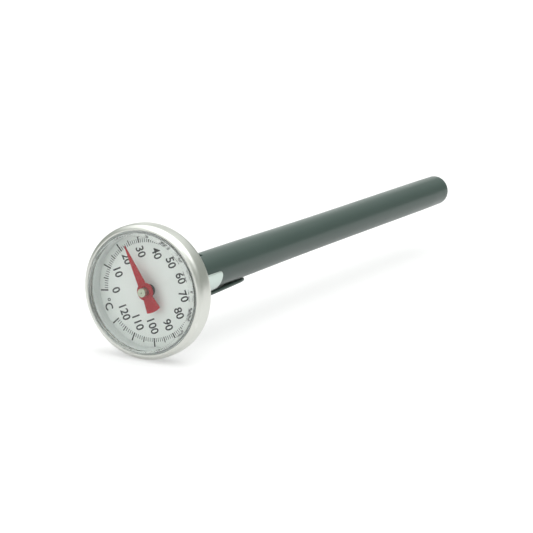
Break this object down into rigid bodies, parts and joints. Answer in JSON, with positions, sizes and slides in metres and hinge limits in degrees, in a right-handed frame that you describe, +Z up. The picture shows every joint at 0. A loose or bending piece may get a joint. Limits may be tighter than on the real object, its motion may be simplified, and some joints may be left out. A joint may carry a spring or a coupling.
{
  "type": "dial thermometer",
  "caption": "Pocket dial thermometer: round steel head with a clear crystal and red pointer, on a thin stem in a dark tapered sheath with its own clip.",
  "frame": {"origin": "on the stem's axis, in the plane of the flat back of the case", "axes": "+X along the stem from the dial to the tip, so the dial faces -X; +Z up as the thermometer lies on its side, with the sheath's clip underneath"},
  "size_m": [0.1434, 0.0288, 0.0288],
  "materials": {
    "case_steel": "satin stainless steel, turned and lightly polished",
    "band_steel": "satin spring steel strip",
    "stem_steel": "drawn stainless steel tube",
    "brass_bush": "turned brass",
    "crystal_clear": "clear polished moulded cap",
    "gasket_rubber": "pale translucent rubber",
    "dial_silver": "satin anodised silver",
    "spacer_white": "plain pale plastic",
    "pointer_red": "red gloss paint",
    "boss_bright": "turned bright aluminium",
    "spring_steel": "plain rolled strip",
    "sheath_plastic": "dark grey-green moulded plastic, satin",
    "print_black": "matt black printed ink of the scale and figures"
  },
  "bodies": {
    "stem": {"stem_tube": "stem_steel", "stem_tip_plug": "stem_steel", "pivot_bush": "brass_bush", "friction_washer": "spring_steel", "calibration_nut": "stem_steel", "upper_guide_bush": "brass_bush", "lower_guide_bush": "brass_bush", "bimetal_helix": "spring_steel", "helix_anchor": "brass_bush"},
    "head": {"bezel_ring": "case_steel", "case_back": "case_steel", "case_eyelet": "brass_bush", "crystal": "crystal_clear", "crystal_gasket": "gasket_rubber", "dial_spacer": "spacer_white", "dial_plate": "dial_silver", "dial_seat_ring": "spacer_white"},
    "pointer": {"pointer": "pointer_red", "pointer_boss": "boss_bright", "pointer_collar": "brass_bush", "pointer_shaft": "stem_steel", "helix_collet": "brass_bush"},
    "sheath": {"sheath_tube": "sheath_plastic", "mouth_band": "band_steel"}
  },
  "joints": [
    {"name": "calibration_turn", "type": "hinge", "parent": "stem", "child": "head", "pos_m": [0, 0, 0], "axis": [1, 0, 0], "continuous": true},
    {"name": "pointer_sweep", "type": "hinge", "parent": "stem", "child": "pointer", "pos_m": [0, 0, 0], "axis": [1, 0, 0], "range_deg": [-67.5, 256.5], "stiffness_Nm_per_rad": 0.00002, "deforming": ["bimetal_helix"]},
    {"name": "sheath_slide", "type": "slide", "parent": "stem", "child": "sheath", "axis": [1, 0, 0], "range_m": [0, 0.14]}
  ]
}
